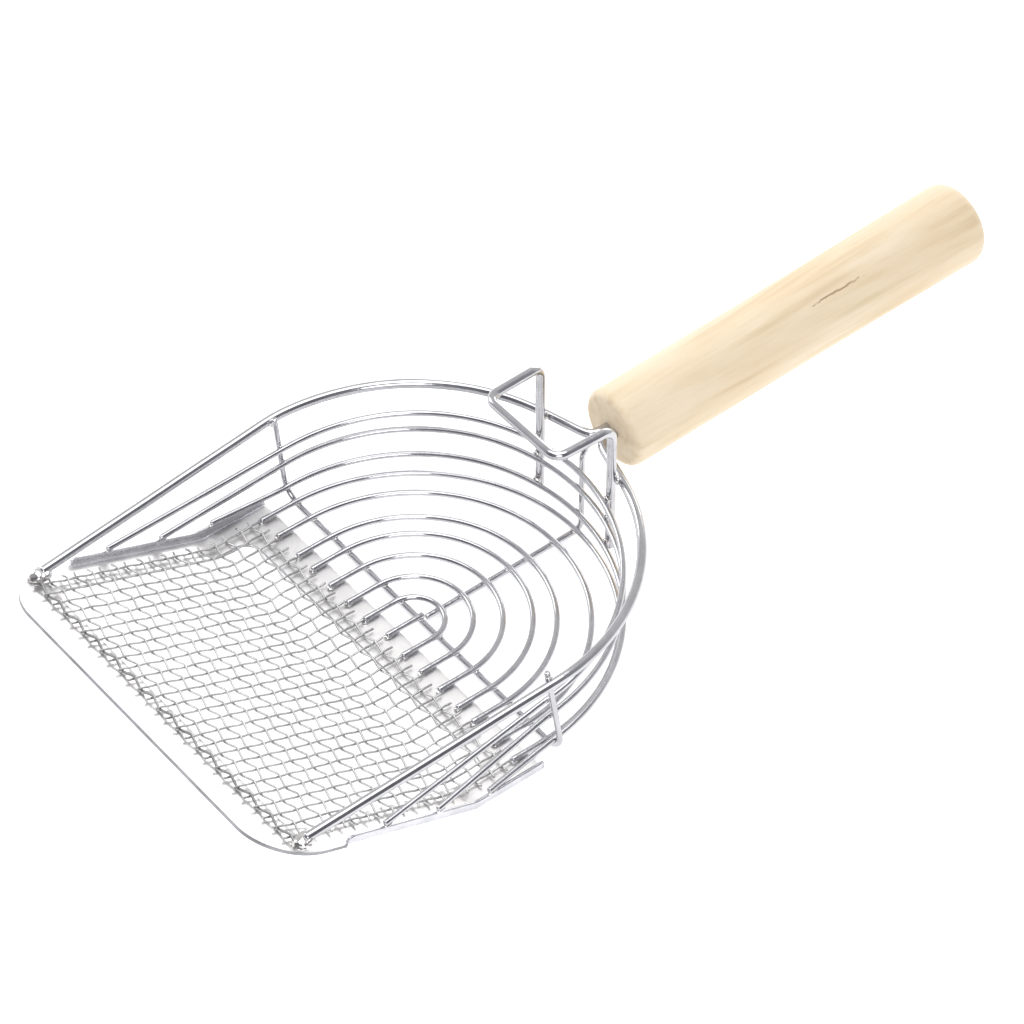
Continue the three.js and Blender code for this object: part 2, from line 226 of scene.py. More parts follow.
def bent(corners, radius, steps=10):
    """Corner points joined by straight wire, with each inner corner bent to a radius."""
    points = [corners[0].copy()]
    for before, here, after in zip(corners, corners[1:], corners[2:]):
        back, ahead = (before - here).normalized(), (after - here).normalized()
        half = back.angle(ahead) / 2
        centre = here + (back + ahead).normalized() * radius / math.sin(half)
        arm = here + back * radius / math.tan(half) - centre
        axis = back.cross(ahead).normalized()
        for k in range(steps + 1):
            turn = Matrix.Rotation(-(math.pi - 2 * half) * k / steps, 3, axis)
            points.append(centre + turn @ arm)
    points.append(corners[-1].copy())
    return points


def mirrored(points):
    return [Vector((-p.x, p.y, p.z)) for p in points]


def loft(bm, rings):
    """Joins rings of vertices into a closed body, with a face over each end."""
    for a, b in zip(rings, rings[1:]):
        for k in range(len(a)):
            n = (k + 1) % len(a)
            bm.faces.new((a[k], a[n], b[n], b[k]))
    bm.faces.new(rings[0])
    bm.faces.new(rings[-1])


def sweep(bm, points, radius, sides):
    """A round wire along a polyline, with its cut ends slightly rounded."""
    tangents = []
    for i in range(len(points)):
        ahead = points[min(i + 1, len(points) - 1)] - points[max(i - 1, 0)]
        tangents.append(ahead.normalized())
    side = tangents[0].orthogonal().normalized()
    sections = []
    for p, t in zip(points, tangents):
        side = (side - t * side.dot(t)).normalized()
        sections.append((p, side.copy(), t.cross(side)))
    start = [(points[0] + tangents[0] * radius * d, s) for s, d in CUT_END]
    end = [(points[-1] - tangents[-1] * radius * d, s) for s, d in reversed(CUT_END)]
    places = [(p, s, sections[0]) for p, s in start]
    places += [(sec[0], 1.0, sec) for sec in sections[1:-1]]
    places += [(p, s, sections[-1]) for p, s in end]
    rings = []
    for p, size, (_, u, v) in places:
        ring = []
        for k in range(sides):
            a = 2 * math.pi * k / sides
            ring.append(bm.verts.new(p + (u * math.cos(a) + v * math.sin(a)) * radius * size))
        rings.append(ring)
    loft(bm, rings)


def arc_points(radius_x, radius_y, centre_y, height, start=0.0, end=math.pi, steps=72):
    """Points of an arc in plan; height is a number, or a function of how far back a point is."""
    points = []
    for k in range(steps + 1):
        a = start + (end - start) * k / steps
        rise = height(math.sin(a)) if callable(height) else height
        points.append(Vector((radius_x * math.cos(a), centre_y + radius_y * math.sin(a), rise)))
    return points


def bead(bm, centre, size, seed):
    """A lump of weld metal: a ball of the given half sizes, roughened a little."""
    made = bmesh.ops.create_icosphere(bm, subdivisions=3, radius=1)
    for v in made["verts"]:
        rough = 1 + 0.22 * noise.noise(v.co * 1.6 + Vector((seed * 3.1, seed, 0)))
        v.co = Vector(centre) + Vector(a * b for a, b in zip(v.co * rough, size))


# Materials --------------------------------------------------------------------------------------

def new_material(name):
    material = bpy.data.materials.new(name)
    material.use_nodes = True
    tree = material.node_tree
    return material, tree, tree.nodes["Principled BSDF"]


def node(tree, kind, **settings):
    made = tree.nodes.new(kind)
    for key, value in settings.items():
        if key in made.inputs:
            made.inputs[key].default_value = value
        else:
            setattr(made, key, value)
    return made


def noise_node(tree, scale, detail=3.0, stretch=(1, 1, 1)):
    """Noise in the object's own coordinates, whose unit is the metre."""
    where = node(tree, "ShaderNodeTexCoord")
    mapping = node(tree, "ShaderNodeMapping")
    mapping.inputs["Scale"].default_value = stretch
    made = node(tree, "ShaderNodeTexNoise", Scale=scale, Detail=detail)
    tree.links.new(where.outputs["Object"], mapping.inputs["Vector"])
    tree.links.new(mapping.outputs["Vector"], made.inputs["Vector"])
    return made.outputs["Fac"]


def ramp(tree, source, stops):
    made = node(tree, "ShaderNodeValToRGB")
    elements = made.color_ramp.elements
    while len(elements) < len(stops):
        elements.new(0.5)
    for element, (at, colour) in zip(elements, stops):
        element.position = at
        element.color = (*colour, 1)
    tree.links.new(source, made.inputs["Fac"])
    return made.outputs["Color"]


def spread(tree, source, low, high, from_low=0.3, from_high=0.7):
    made = node(tree, "ShaderNodeMapRange")
    for key, value in (("From Min", from_low), ("From Max", from_high), ("To Min", low), ("To Max", high)):
        made.inputs[key].default_value = value
    tree.links.new(source, made.inputs["Value"])
    return made.outputs["Result"]


def bump(tree, shader, source, depth, strength=1.0):
    made = node(tree, "ShaderNodeBump", Strength=strength, Distance=depth)
    tree.links.new(source, made.inputs["Height"])
    tree.links.new(made.outputs["Normal"], shader.inputs["Normal"])


def chrome(name, light, dark, smooth, rough, grain=900.0, dents=0.00004):
    """Plated steel: nearly clean, with faint clouding and a slightly uneven surface."""
    material, tree, shader = new_material(name)
    shader.inputs["Metallic"].default_value = 1.0
    clouds = noise_node(tree, 140.0)
    tree.links.new(ramp(tree, clouds, [(0.35, dark), (0.65, light)]), shader.inputs["Base Color"])
    tree.links.new(spread(tree, noise_node(tree, grain), smooth, rough), shader.inputs["Roughness"])
    bump(tree, shader, noise_node(tree, 260.0, 2.0), dents)
    return material


def wood_material():
    material, tree, shader = new_material("sanded_wood")
    figure = noise_node(tree, 240.0, 5.0, (1.0, 0.06, 1.0))
    pores = noise_node(tree, 900.0, 3.0, (1.0, 0.045, 1.0))
    patches = noise_node(tree, 70.0, 3.0, (1.0, 0.35, 1.0))
    base = ramp(tree, figure, [(0.30, (0.74, 0.60, 0.39)), (0.45, (0.84, 0.70, 0.50)),
                               (0.55, (0.87, 0.74, 0.55)), (0.70, (0.80, 0.66, 0.45))])
    tint = ramp(tree, patches, [(0.35, (0.95, 0.91, 0.85)), (0.65, (1.0, 1.0, 1.0))])
    mix = node(tree, "ShaderNodeMix", data_type="RGBA", blend_type="MULTIPLY")
    mix.inputs["Factor"].default_value = 1.0
    tree.links.new(base, mix.inputs[6])
    tree.links.new(tint, mix.inputs[7])
    # Dark brown along the crack's groove: painted shade inside the crack.
    crack = node(tree, "ShaderNodeAttribute", attribute_name="crack")
    crack_shaded = node(tree, "ShaderNodeMix", data_type="RGBA")
    crack_shaded.inputs[7].default_value = (0.30, 0.16, 0.07, 1)
    tree.links.new(crack.outputs["Fac"], crack_shaded.inputs["Factor"])
    tree.links.new(mix.outputs[2], crack_shaded.inputs[6])
    tree.links.new(crack_shaded.outputs[2], shader.inputs["Base Color"])
    tree.links.new(spread(tree, pores, 0.42, 0.6), shader.inputs["Roughness"])
    shader.inputs["Coat Weight"].default_value = 0.12
    shader.inputs["Coat Roughness"].default_value = 0.35
    bump(tree, shader, pores, 0.00006, 0.5)
    return material


CHROME_WIRE = chrome("chrome_wire", (0.58, 0.58, 0.60), (0.50, 0.50, 0.52), 0.08, 0.17)
CHROME_PLATE = chrome("chrome_plate", (0.92, 0.91, 0.905), (0.85, 0.84, 0.835), 0.32, 0.42, 900.0, 0.000004)
# The flange is the plate's own sheet in a darker copy of its chrome: painted shade on the folded-up edge.
FLANGE_CHROME_PAINTED_SHADE = chrome("chrome_flange_painted_shade", (0.72, 0.72, 0.75), (0.62, 0.62, 0.65), 0.2, 0.3, 900.0, 0.000003)
# Painted shade: a darker chrome for the sheet's cut edges, so that they show as a grey line.
CUT_EDGE_PAINTED_SHADE = chrome("cut_edge_painted_shade", (0.36, 0.36, 0.38), (0.26, 0.26, 0.27), 0.35, 0.5)
# Painted shade: the mesh's front wire is the same steel as the others, darkened to stand in for the contact
# shadow along the mesh's front edge.
MESH_EDGE_PAINTED_SHADE = chrome("mesh_edge_painted_shade", (0.34, 0.34, 0.34), (0.22, 0.22, 0.22), 0.2, 0.34, 1500.0)
MESH_STEEL = chrome("mesh_wire", (0.60, 0.60, 0.60), (0.48, 0.48, 0.48), 0.2, 0.34, 1500.0)
BRAZE_METAL = chrome("braze", (0.80, 0.80, 0.80), (0.55, 0.53, 0.52), 0.05, 0.14, 700.0, 0.0002)
WOOD = wood_material()


# Basket wires -----------------------------------------------------------------------------------

def make_rim():
    climb = (RIM_HEIGHT - RIM_SIDE_HEIGHT) / math.cos(RIM_TAIL_SLOPE)
    arc = arc_points(RIM_RADIUS, RIM_RADIUS, BASKET_Y, lambda back: RIM_SIDE_HEIGHT + climb * back,
                     0, math.pi / 2 - RIM_TAIL_SLOPE, 60)
    tail = arc[-1]
    turn = Vector((TANG_SPACING, tail.y + (tail.x - TANG_SPACING) * math.tan(RIM_TAIL_SLOPE), RIM_HEIGHT))
    reach = HANDLE_FACE_Y + TANG_DEPTH - turn.y
    tip = turn + Vector((0, reach, reach * math.tan(HANDLE_TILT)))
    right = spaced([RIM_FRONT, *arc], PATH_STEP) + spaced(bent([tail, turn, tip], TANG_BEND), PATH_STEP)[1:]
    right = eased(right, 4)
    for name, side, seed in (("rim_right", right, 1), ("rim_left", mirrored(right), 2)):
        bm = bmesh.new()
        sweep(bm, hand_bent(side, 0.12, seed), THICK_WIRE, THICK_SIDES)
        finish_piece(name, bm, CHROME_WIRE, [name.replace("rim_", "rim_wire_")])


def floor_radius(name):
    low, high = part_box(name)
    return (high.x - low.x) / 2 / MM - THIN_WIRE


def make_floor_wires():
    for k in range(1, FLOOR_WIRES + 1):
        name = f"floor_wire_{k}"
        radius = floor_radius(name)
        arc = arc_points(radius, radius, 0, 0, steps=max(24, int(radius * 1.6)))
        front = Vector((radius, FLOOR_FRONT_Y, 0))
        path = spaced([front, *arc, Vector((-radius, FLOOR_FRONT_Y, 0))], PATH_STEP)
        bm = bmesh.new()
        sweep(bm, hand_bent(path, 0.1, k + 4), THIN_WIRE, THIN_SIDES)
        finish_piece(f"basket_floor_wire_{k}", bm, CHROME_WIRE, [name])


def plate_height(y):
    """Height of the plate's top face: flat, then a bend of a real radius, then the slope."""
    tangent = PLATE_BEND_RADIUS * math.tan(PLATE_SLOPE / 2)
    past = PLATE_BEND_Y + tangent - y
    if past <= 0:
        return PLATE_TOP
    if past < PLATE_BEND_RADIUS * math.sin(PLATE_SLOPE):
        return PLATE_TOP + PLATE_BEND_RADIUS - math.sqrt(PLATE_BEND_RADIUS ** 2 - past ** 2)
    return PLATE_TOP + (PLATE_BEND_Y - y) * math.tan(PLATE_SLOPE)


def rib_x(height):
    """How far out the cross rib's uprights stand at a height."""
    return RIB_FOOT_X + (RIB_TIP_X - RIB_FOOT_X) * height / RIM_HEIGHT


def make_side_wires():
    end_x = PLATE_HALF_WIDTH - SHEET / 2 - SIDE_END_INSET
    for seed, (name, (side, rear, end_y)) in enumerate(SIDE_WIRES.items()):
        end_z = plate_height(end_y) + FLANGE_HEIGHT + THIN_WIRE - SIDE_END_PRESSED
        end = Vector((end_x, end_y, end_z))
        half_width = rib_x(side) - 2 * THIN_WIRE
        arc = arc_points(half_width, SIDE_REAR, BASKET_Y, lambda back: side + (rear - side) * back)
        path = spaced([end, *arc, *mirrored([end])], PATH_STEP)
        bm = bmesh.new()
        sweep(bm, hand_bent(eased(path, 6), 0.15, seed + 14), THIN_WIRE, THIN_SIDES)
        finish_piece(f"basket_{name}", bm, CHROME_WIRE, [name])


def make_ribs():
    half = [Vector((-rib_x(RIB_TIP_Z), RIB_TOP_Y, RIB_TIP_Z)), Vector((-rib_x(0), RIB_Y, RIB_UNDER))]
    cross = bent([*half, *reversed(mirrored(half))], CROSS_RIB_BEND)
    bm = bmesh.new()
    sweep(bm, hand_bent(spaced(cross, PATH_STEP), 0.1, 21), THIN_WIRE, THIN_SIDES)
    finish_piece("basket_cross_rib", bm, CHROME_WIRE, ["cross_rib"])

    tail_y = BASKET_Y + RIM_RADIUS / math.cos(RIM_TAIL_SLOPE) - THICK_WIRE - THIN_WIRE
    rear = bent([
        Vector((0, RIB_Y + 2 * THIN_WIRE, RIB_UNDER)),
        Vector((0, REAR_RIB_Y, RIB_UNDER)),
        Vector((0, REAR_RIB_Y, RIM_HEIGHT - REAR_RIB_LEAN)),
        Vector((0, tail_y, RIM_HEIGHT + 1)),
    ], REAR_RIB_BEND)
    bm = bmesh.new()
    sweep(bm, hand_bent(eased(spaced(rear, 1.0), 2), 0.08, 22), THIN_WIRE, THIN_SIDES)
    finish_piece("basket_rear_rib", bm, CHROME_WIRE, ["rear_rib"])

    bm = bmesh.new()
    stub = [Vector((0, FLOOR_FRONT_Y + STUB_SETBACK, 0)), Vector((0, RIB_Y + THIN_WIRE, 0))]
    sweep(bm, spaced(stub, PATH_STEP), THIN_WIRE, THIN_SIDES)
    finish_piece("basket_front_stub", bm, CHROME_WIRE, ["front_stub"])


def make_hook():
    half = [
        Vector((HOOK_HALF_WIDTH, HOOK_LEG_Y, HOOK_BOTTOM)),
        Vector((HOOK_HALF_WIDTH, HOOK_LEG_Y, HOOK_TOP)),
        Vector((HOOK_FRONT_HALF_WIDTH, HOOK_FRONT_Y, HOOK_TOP)),
    ]
    path = bent([*half, *reversed(mirrored(half))], HOOK_BEND, 14)
    bm = bmesh.new()
    sweep(bm, hand_bent(spaced(path, 1.5), 0.08, 31), THICK_WIRE, THICK_SIDES)
    finish_piece("hook", bm, CHROME_WIRE, ["bucket_hook"])


# Plate frame ------------------------------------------------------------------------------------

def outline(half_width, rear_y, front_y, corner, rear_corner):
    """A rounded rectangle in plan, always with the same number of points on each stretch."""
    points = []

    def straight(a, b, count):
        for k in range(count):
            points.append(Vector(a).lerp(Vector(b), k / count))

    def turn(centre, radius, start, count):
        for k in range(count):
            angle = start + math.pi / 2 * k / count
            points.append(Vector(centre) + Vector((math.cos(angle), math.sin(angle))) * radius)

    w, f, r = half_width, front_y, rear_y
    straight((w - rear_corner, r), (-w + rear_corner, r), 60)
    turn((-w + rear_corner, r - rear_corner), rear_corner, math.pi / 2, 8)
    straight((-w, r - rear_corner), (-w, f + corner), 120)
    turn((-w + corner, f + corner), corner, math.pi, 24)
    straight((-w + corner, f), (w - corner, f), 60)
    turn((w - corner, f + corner), corner, 1.5 * math.pi, 24)
    straight((w, f + corner), (w, r - rear_corner), 120)
    turn((w - rear_corner, r - rear_corner), rear_corner, 0, 8)
    return points


def make_plate():
    side_x = PLATE_HALF_WIDTH - SHEET - FLANGE_FOLD
    outer = outline(PLATE_HALF_WIDTH, PLATE_REAR_Y, PLATE_FRONT_Y, PLATE_CORNER,
                    SQUARE_CORNER)
    inner = outline(PLATE_HALF_WIDTH - BORDER_WIDTH, PLATE_REAR_Y - STRIP_WIDTH,
                    PLATE_FRONT_Y + LIP_WIDTH, OPENING_CORNER, OPENING_CORNER)
    for p in outer:
        if p.y > FLANGE_FRONT_Y:
            p.x = max(-side_x, min(side_x, p.x))
    bm = bmesh.new()
    rows = []
    for k in range(PLATE_ROWS + 1):
        row = [a.lerp(b, k / PLATE_ROWS) for a, b in zip(inner, outer)]
        rows.append([bm.verts.new((p.x, p.y, plate_height(p.y))) for p in row])
    count = len(outer)
    for a, b in zip(rows, rows[1:]):
        for k in range(count):
            n = (k + 1) % count
            bm.faces.new((a[k], b[k], b[n], a[n]))
    bmesh.ops.dissolve_degenerate(bm, dist=0.001, edges=bm.edges)
    plate = finish_piece("sheet_frame", bm, CHROME_PLATE, ["plate_frame"],
                         facing_up=True)
    # the rim faces of the thickened sheet take the darker cut-edge chrome: painted shade
    plate.data.materials.append(CUT_EDGE_PAINTED_SHADE)
    thick = plate.modifiers.new("thickness", "SOLIDIFY")
    thick.thickness = SHEET * MM
    thick.offset = -1
    thick.material_offset_rim = 1
    edge = plate.modifiers.new("edge", "BEVEL")
    edge.width = SHEET_EDGE * MM
    edge.segments = 3
    edge.limit_method = "ANGLE"
    edge.angle_limit = math.radians(50)
    make_flanges(side_x)


def flange_section(share):
    """The flange across the sheet, as (out, up) from the start of its fold; share is its height."""
    low = FLANGE_FOLD + FLANGE_FRONT_RISE
    top = low + (FLANGE_HEIGHT - low) * share
    reach = FLANGE_FOLD + SHEET
    points = []
    for k in range(QUARTER_STEPS + 1):
        a = math.pi / 2 * k / QUARTER_STEPS
        points.append((FLANGE_FOLD * math.sin(a), FLANGE_FOLD * (1 - math.cos(a))))
    points += [(FLANGE_FOLD, top - SHEET_EDGE), (FLANGE_FOLD + SHEET_EDGE, top),
               (reach - SHEET_EDGE, top), (reach, top - SHEET_EDGE)]
    for k in range(QUARTER_STEPS + 1):
        a = math.pi / 2 * (1 - k / QUARTER_STEPS)
        points.append((reach * math.sin(a), FLANGE_FOLD - reach * math.cos(a)))
    points += [(-FLANGE_LAP, -SHEET + LAP_GAP), (-FLANGE_LAP, -LAP_GAP)]
    return points


def make_flanges(side_x):
    """The plate's edges, folded up along both sides, with their front ends cut round."""
    length = PLATE_REAR_Y - FLANGE_FRONT_Y
    bm = bmesh.new()
    for side in (-1, 1):
        rings = []
        for k in range(FLANGE_STEPS + 1):
            into = length * (k / FLANGE_STEPS) ** 1.5
            share = math.sqrt(1 - (1 - min(1, into / FLANGE_HEIGHT)) ** 2)
            y = FLANGE_FRONT_Y + into
            rings.append([bm.verts.new((side * (side_x + out), y, plate_height(y) + up))
                          for out, up in flange_section(share)])
        loft(bm, rings)
    # darker chrome than the plate's: painted shade on the flanges
    finish_piece("side_flanges", bm, FLANGE_CHROME_PAINTED_SHADE)


# Woven mesh -------------------------------------------------------------------------------------

def mesh_point(across, along, lift):
    """A point of the woven mesh: across, along from the rear wire, and above its middle plane."""
    flat = MESH_REAR_Y - PLATE_BEND_Y
    tangent = PLATE_BEND_RADIUS * math.tan(PLATE_SLOPE / 2)
    into = along - (flat - tangent)
    bend = PLATE_BEND_RADIUS * PLATE_SLOPE
    angle = max(0.0, min(into / PLATE_BEND_RADIUS, PLATE_SLOPE))
    y = MESH_REAR_Y - min(along, flat - tangent) - PLATE_BEND_RADIUS * math.sin(angle)
    z = PLATE_BEND_RADIUS * (1 - math.cos(angle))
    past = max(0.0, into - bend)
    y -= past * math.cos(PLATE_SLOPE)
    z += past * math.sin(PLATE_SLOPE)
    return Vector((across, y + lift * math.sin(angle), z + lift * math.cos(angle)))


def make_long_wire(bm, i):
    """The wire that crosses the others in column i, from behind to the front."""
    first = -LONG_TAIL_REAR / PITCH_ALONG
    last = MESH_CROSS_WIRES - 1 + LONG_TAIL_FRONT / PITCH_ALONG
    total = int((last - first) * MESH_SAMPLES)
    points = []
    for k in range(total + 1):
        u = first + (last - first) * k / total
        x = -MESH_HALF_WIDTH + i * PITCH_ACROSS
        x += MESH_WANDER * noise.noise(Vector((x * 0.06, u * 0.5, 3.7)))
        points.append(mesh_point(x, u * PITCH_ALONG, LONG_CRIMP * math.cos(math.pi * (u + i))))
    sweep(bm, points, MESH_WIRE, MESH_SIDES)


def make_cross_wire(bm, j, radius):
    """The wire in row j, from side to side. Rows are counted from behind."""
    first = -CROSS_TAIL / PITCH_ACROSS
    last = MESH_LONG_WIRES - 1 + CROSS_TAIL / PITCH_ACROSS
    total = int((last - first) * MESH_SAMPLES)
    points = []
    for k in range(total + 1):
        u = first + (last - first) * k / total
        x = -MESH_HALF_WIDTH + u * PITCH_ACROSS
        v = j * PITCH_ALONG + MESH_WANDER * noise.noise(Vector((x * 0.06, j * 0.5, 9.1)))
        crimp = 2 / math.pi * math.asin(0.98 * math.cos(math.pi * (u + j)))
        points.append(mesh_point(x, v + CROSS_ZIGZAG * crimp, -CROSS_CRIMP * crimp))
    sweep(bm, points, radius, MESH_SIDES)


def make_mesh():
    bm = bmesh.new()
    for i in range(MESH_LONG_WIRES):
        make_long_wire(bm, i)
    for j in range(MESH_CROSS_WIRES - 1):
        make_cross_wire(bm, j, MESH_WIRE)
    finish_piece("woven_mesh", bm, MESH_STEEL, ["sifting_mesh"])

    # the front wire, in the darker steel: painted shade
    bm = bmesh.new()
    make_cross_wire(bm, MESH_CROSS_WIRES - 1, EDGE_WIRE)
    finish_piece("woven_mesh_edge_wires", bm, MESH_EDGE_PAINTED_SHADE)


# Welds ------------------------------------------------------------------------------------------

# Half sizes of the beads, named after where they are.
FLOOR_BEAD = (1.15, 1.15, 0.9)
STRIP_BEAD = (1.25, 1.3, 0.7)
SIDE_BEAD = (0.8, 1.1, 1.1)
FLANGE_BEAD = (0.9, 1.7, 0.6)
RIB_TIP_BEAD = (1.0, 1.4, 1.5)
HOOK_SIDE_BEAD = (1.3, 1.3, 1.1)
HOOK_RIM_BEAD = (1.5, 1.6, 1.7)

STRIP_BEAD_INSET = 0.6          # from the floor wires' front ends
STRIP_BEAD_Z = -0.7             # between those ends and the plate
STUB_BEAD_INSET = 2
CROSSING_Z = RIB_UNDER / 2      # between the floor wires and the ribs under them
UPRIGHT_LEAN = 4.4              # how far forward the cross rib's uprights lean by the rim's height
FLANGE_BEAD_INSET = 1.2         # from the side wires' cut ends
HOOK_BEAD_OUT = 0.6             # from the hook's legs to the beads at the rim
HOOK_BEAD_BACK = 2.4

# Where each lump of a corner braze is, from the rim wire's end, and its half sizes.
BRAZE_LUMPS = [
    ((0, -0.8, -0.9), (2.9, 3.6, 1.9)),
    ((-1.6, 0.6, -0.8), (1.5, 2.6, 1.6)),
    ((1.5, 0.4, -0.9), (1.3, 2.4, 1.5)),
    ((0.2, -2.6, -1.2), (1.9, 1.9, 1.1)),
]
BRAZE_VOXEL = 0.16              # cell size in which a braze's lumps are merged


def make_floor_welds(bm):
    """The beads under the floor wires. Returns the seed that the other beads go on from."""
    seed = 0
    strip_y = FLOOR_FRONT_Y + STRIP_BEAD_INSET
    for k in range(1, FLOOR_WIRES + 1):
        radius = floor_radius(f"floor_wire_{k}")
        for side in (-1, 1):
            x = math.sqrt(radius ** 2 - RIB_Y ** 2)
            bead(bm, (side * x, RIB_Y, CROSSING_Z), FLOOR_BEAD, seed)
            bead(bm, (side * radius, strip_y, STRIP_BEAD_Z), STRIP_BEAD, seed + 1)
            seed += 2
        bead(bm, (0, radius, CROSSING_Z), FLOOR_BEAD, seed)
        seed += 1
    bead(bm, (0, FLOOR_FRONT_Y + STUB_BEAD_INSET, STRIP_BEAD_Z), STRIP_BEAD, seed)
    bead(bm, (0, RIB_Y, CROSSING_Z), FLOOR_BEAD, seed + 1)
    return seed


def make_welds():
    bm = bmesh.new()
    seed = make_floor_welds(bm)
    for side, _, _ in SIDE_WIRES.values():
        for sign in (-1, 1):
            y = RIB_Y - UPRIGHT_LEAN * side / RIM_HEIGHT
            place = (sign * (rib_x(side) - THIN_WIRE), y, side)
            bead(bm, place, SIDE_BEAD, seed + 2)
            seed += 1
    for _, _, end_y in SIDE_WIRES.values():
        for sign in (-1, 1):
            place = (sign * (PLATE_HALF_WIDTH - SHEET / 2), end_y + FLANGE_BEAD_INSET,
                     plate_height(end_y) + FLANGE_HEIGHT)
            bead(bm, place, FLANGE_BEAD, seed)
            seed += 1
    for sign in (-1, 1):
        place = (sign * (RIB_TIP_X + THIN_WIRE), RIB_TOP_Y, RIM_SIDE_HEIGHT)
        bead(bm, place, RIB_TIP_BEAD, seed + 3)
        seed += 1
    finish_piece("basket_welds", bm, BRAZE_METAL)
    make_hook_welds(seed)


def make_hook_welds(seed):
    bm = bmesh.new()
    for side, rear, _ in SIDE_WIRES.values():
        wire_y = BASKET_Y + SIDE_REAR * math.sqrt(1 - (HOOK_HALF_WIDTH / rib_x(side)) ** 2)
        for sign in (-1, 1):
            seed += 1
            place = (sign * HOOK_HALF_WIDTH, (wire_y + HOOK_LEG_Y) / 2, rear)
            bead(bm, place, HOOK_SIDE_BEAD, seed)
    for sign in (-1, 1):
        seed += 1
        place = (sign * (HOOK_HALF_WIDTH + HOOK_BEAD_OUT), HOOK_LEG_Y + HOOK_BEAD_BACK, RIM_HEIGHT)
        bead(bm, place, HOOK_RIM_BEAD, seed)
    finish_piece("hook_welds", bm, BRAZE_METAL)


def make_corner_brazes():
    for name, side in (("corner_braze_left", -1), ("corner_braze_right", 1)):
        bm = bmesh.new()
        x, y, z = RIM_FRONT
        for seed, (at, size) in enumerate(BRAZE_LUMPS):
            place = (side * (x + at[0]), y + at[1], z + at[2])
            bead(bm, place, size, seed + 50 * (side + 2))
        braze = finish_piece(name + "_lump", bm, BRAZE_METAL, [name])
        merge = braze.modifiers.new("merge", "REMESH")
        merge.mode = "VOXEL"
        merge.voxel_size = BRAZE_VOXEL * MM
        soften = braze.modifiers.new("soften", "SMOOTH")
        soften.iterations = 3


# Handle -----------------------------------------------------------------------------------------

CRACK_FROM = 75.2               # along the handle from its front face
CRACK_TO = 101.0
CRACK_ANGLE = math.radians(56.2)    # around it, from +X towards +Z
CRACK_WIDTH = 0.24
CRACK_DEPTH = 0.25
CRACK_SHADE_GAIN = 1.6                # the painted shade in the crack is at its darkest before the crack is at its deepest


def crack_angle(along):
    """Where round the handle the crack runs: a slight slant with small jogs."""
    share = (along - CRACK_FROM) / (CRACK_TO - CRACK_FROM)
    drift = 0.03 * noise.noise(Vector((share * 4, 2.1, 0)))
    jogs = 0.014 * noise.noise(Vector((share * 17, 7.7, 0)))
    return CRACK_ANGLE + drift + jogs


def crack_depth(radius, along, angle):
    """How deep the crack is at a place on the handle, from 0 beside it to 1 in its middle."""
    if not CRACK_FROM < along < CRACK_TO:
        return 0.0
    off = abs((angle - crack_angle(along)) * radius)
    taper = math.sin(math.pi * (along - CRACK_FROM) / (CRACK_TO - CRACK_FROM))
    return max(0.0, 1 - off / (CRACK_WIDTH * (0.4 + taper)))


def handle_profile():
    """The handle's radius and the distance along it, from the front face to the butt."""
    stations = [(HANDLE_FRONT_RADIUS / 3, 0)]
    for k in range(QUARTER_STEPS + 1):
        a = math.pi / 2 * k / QUARTER_STEPS
        stations.append((HANDLE_FRONT_RADIUS - HANDLE_FRONT_ROUND * (1 - math.sin(a)),
                         HANDLE_FRONT_ROUND * (1 - math.cos(a))))
    first, last = HANDLE_FRONT_ROUND, HANDLE_LENGTH - HANDLE_BUTT_ROUND
    along = first
    while along < last - 2:
        along += 0.5 if CRACK_FROM - 2 < along < CRACK_TO + 2 else 2.0
        share = (along - first) / (last - first)
        radius = HANDLE_FRONT_RADIUS + (HANDLE_BUTT_RADIUS - HANDLE_FRONT_RADIUS) * share
        stations.append((radius - HANDLE_SWELL * math.sin(share * math.pi), along))
    for k in range(QUARTER_STEPS + 1):
        a = math.pi / 2 * k / QUARTER_STEPS
        stations.append((HANDLE_BUTT_RADIUS - HANDLE_BUTT_ROUND * (1 - math.cos(a)),
                         HANDLE_LENGTH - HANDLE_BUTT_ROUND * (1 - math.sin(a))))
    return stations


def make_handle():
    bm = bmesh.new()
    # how dark the painted shade in the crack is at each vertex
    crack_shade = bm.verts.layers.float.new("crack")
    pose = Matrix.Translation((0, HANDLE_FACE_Y, RIM_HEIGHT)) @ Matrix.Rotation(HANDLE_TILT, 4, "X")
    rings = []
    for radius, along in handle_profile():
        ring = []
        for k in range(HANDLE_SIDES):
            a = 2 * math.pi * k / HANDLE_SIDES
            wave = HANDLE_WAVE * noise.noise(Vector((math.cos(a), along * 0.03, math.sin(a))))
            depth = crack_depth(radius, along, a)
            r = radius + (wave if along > HANDLE_FRONT_ROUND else 0) - CRACK_DEPTH * depth - HANDLE_WAVE
            v = bm.verts.new(pose @ Vector((r * math.cos(a), along, r * math.sin(a))))
            v[crack_shade] = min(1.0, depth * CRACK_SHADE_GAIN)
            ring.append(v)
        rings.append(ring)
    loft(bm, rings)
    finish_piece("wood_handle", bm, WOOD, ["handle"])


# Studio -----------------------------------------------------------------------------------------

CAMERA_AIM = Vector((3.4, 37.0, 28))
CAMERA_DISTANCE = 1401
CAMERA_AZIMUTH = 51.55
CAMERA_ELEVATION = 45.97
CAMERA_ROLL = -0.07
CAMERA_LENS = 156.5
FLOOR_HALF_SIZE = 3             # metres
FLOOR_GLOW = 0.45               # lifts the floor's shadows, as in a bright light tent
FLOOR_DROP = 0.0005             # metres under the scoop's lowest point
DARK_SIDE = (0.70, -0.55, 0.45)     # of the room, where the photographer stands
ROOM_STRENGTH = 0.9

